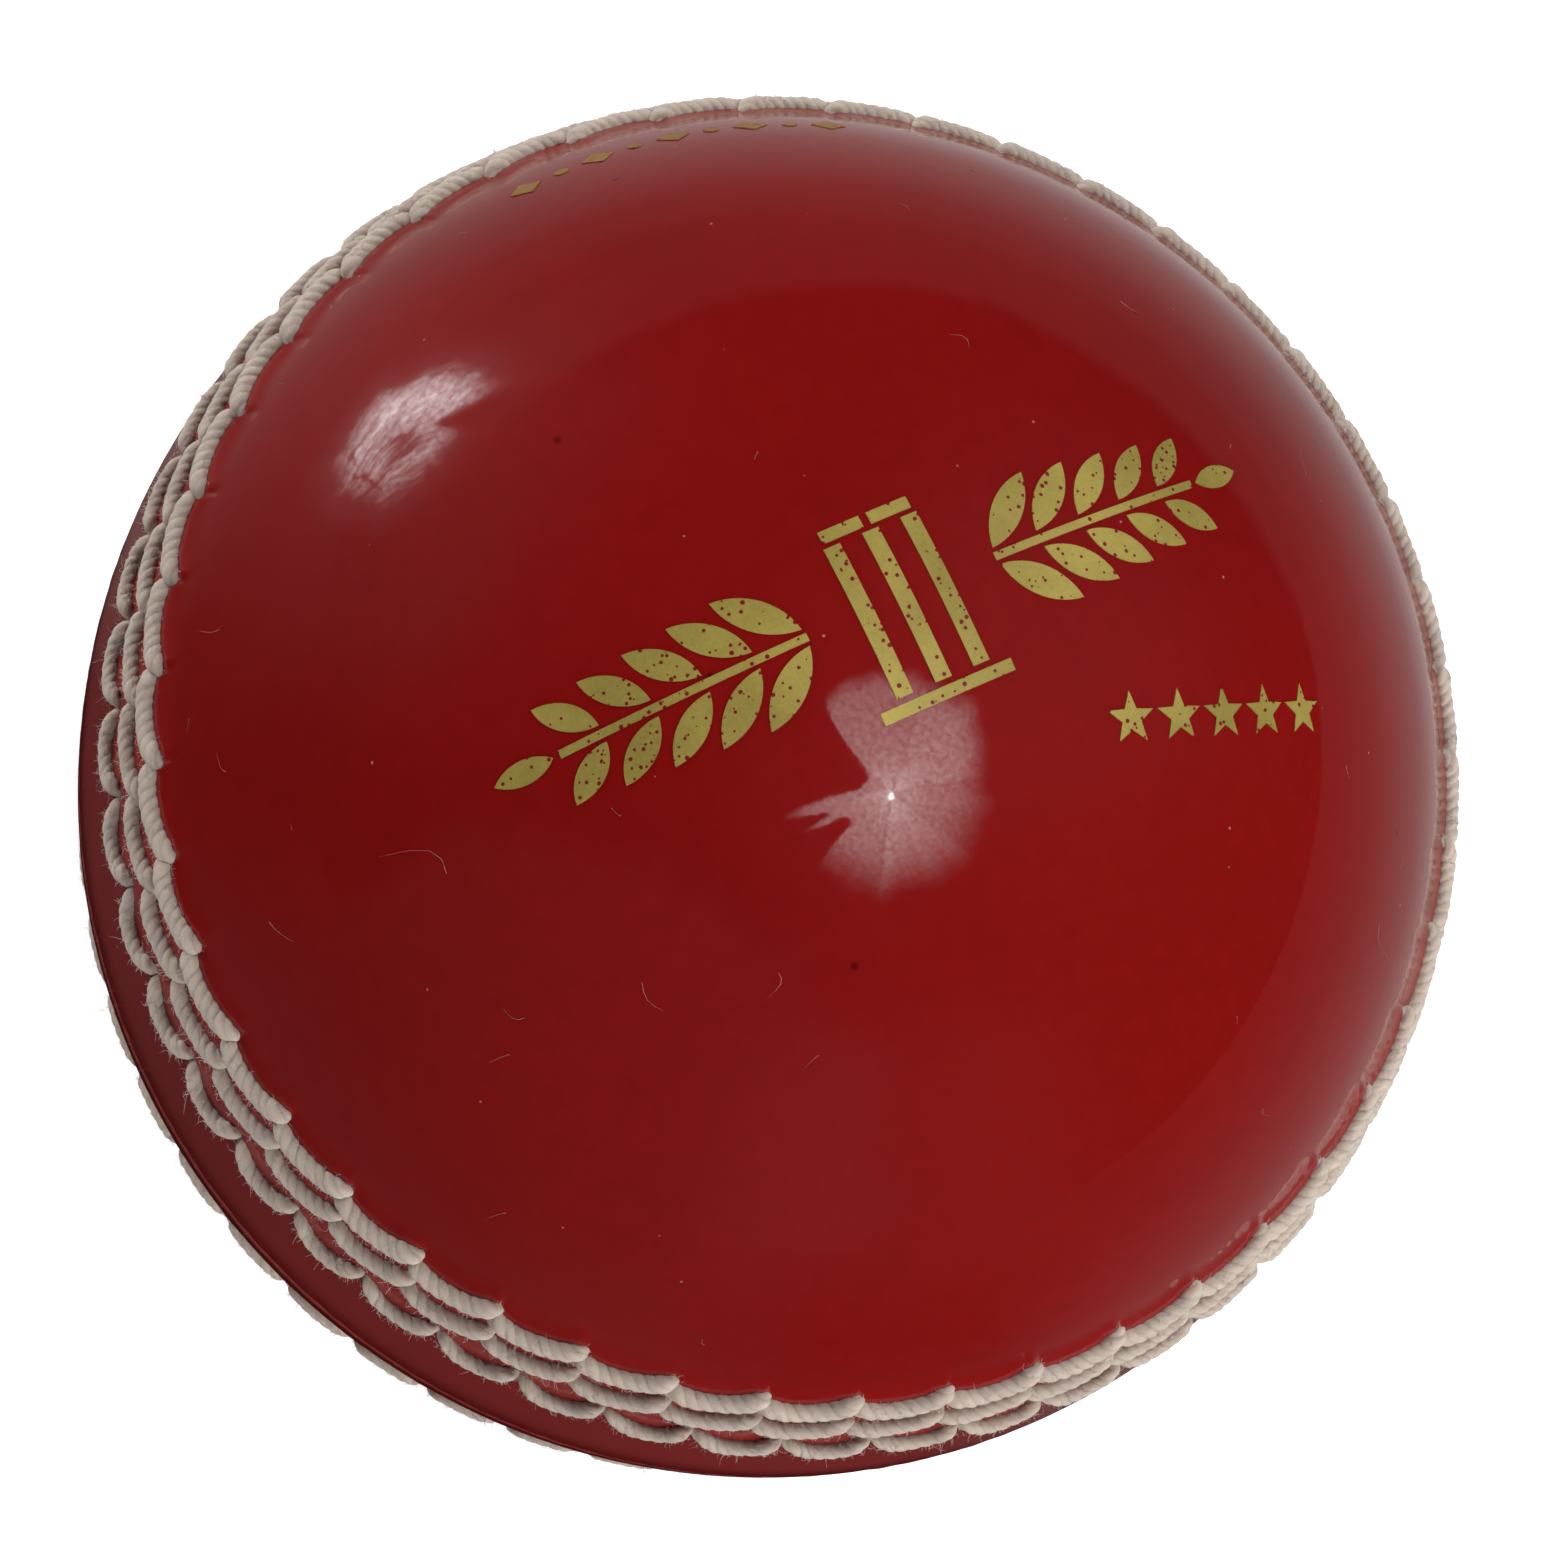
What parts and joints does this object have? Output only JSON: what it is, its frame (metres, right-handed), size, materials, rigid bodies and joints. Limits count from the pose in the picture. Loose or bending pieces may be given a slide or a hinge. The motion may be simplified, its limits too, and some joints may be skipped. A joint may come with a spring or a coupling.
{
  "type": "cricket ball",
  "caption": "Hard round cricket ball: glossy red cover in two cups with raised cream thread rows, over a layered cork and yarn centre.",
  "frame": {"origin": "centre of the ball", "axes": "+Z through the pole of the upper cover cup, which carries the gold ornaments; the join of the two cups lies in the XY plane"},
  "size_m": [0.0726, 0.0726, 0.0721],
  "materials": {
    "cover": "smooth dyed leather, high gloss lacquer",
    "thread": "thick waxed twisted thread, matte",
    "foil": "thin hot-stamped gold foil, slightly worn",
    "cork": "pressed granulated cork, matte",
    "yarn": "tightly wound wool yarn, matte",
    "core_rubber": "moulded rubber with cork crumbs, matte"
  },
  "bodies": {
    "root": {"core": "core_rubber", "first_cork_upper": "cork", "first_cork_lower": "cork", "first_winding": "yarn", "second_cork_upper": "cork", "second_cork_lower": "cork", "second_winding": "yarn", "third_cork_upper": "cork", "third_cork_lower": "cork", "third_winding": "yarn", "fourth_cork_upper": "cork", "fourth_cork_lower": "cork", "fourth_winding": "yarn", "upper_cover": "cover", "lower_cover": "cover", "upper_outer_stitches": "thread", "upper_middle_stitches": "thread", "upper_inner_stitches": "thread", "lower_inner_stitches": "thread", "lower_middle_stitches": "thread", "lower_outer_stitches": "thread", "laurel_foil": "foil", "star_foil": "foil", "worn_foil": "foil"}
  },
  "joints": []
}
